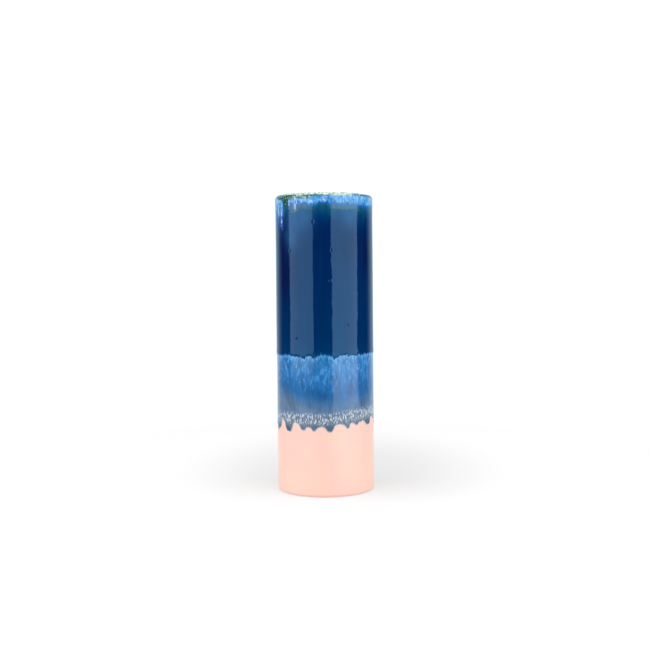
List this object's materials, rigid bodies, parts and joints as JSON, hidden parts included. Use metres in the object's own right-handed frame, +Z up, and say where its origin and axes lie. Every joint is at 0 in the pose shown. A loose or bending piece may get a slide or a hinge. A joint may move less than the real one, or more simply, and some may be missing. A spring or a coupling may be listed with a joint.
{
  "type": "bud vase",
  "caption": "Straight cylindrical ceramic bud vase, pink below and drip-glazed in blue and navy above, open at the top, flat ring foot, holds a stem in water.",
  "frame": {"origin": "centre of the foot's bottom plane, on the vase's axis", "axes": "+Z up along the vase's axis, -Y towards the side that the picture shows, +X to the right of that side"},
  "size_m": [0.0498, 0.0498, 0.15],
  "materials": {
    "stoneware": "bare fired stoneware, matt and slightly gritty",
    "inside_glaze": "glossy milky pale blue glaze",
    "pink_glaze": "glossy opaque peach pink glaze",
    "blue_glaze": "glossy streaked mid blue glaze with pale flecks near its drips",
    "navy_glaze": "glossy deep navy glaze with pinholes",
    "rim_glaze": "glossy frothy light blue glaze, green and cream where it thins on the lip"
  },
  "bodies": {
    "root": {"clay_body": "stoneware", "inside_glaze": "inside_glaze", "pink_glaze": "pink_glaze", "blue_glaze": "blue_glaze", "navy_glaze": "navy_glaze", "rim_glaze": "rim_glaze"}
  },
  "joints": []
}
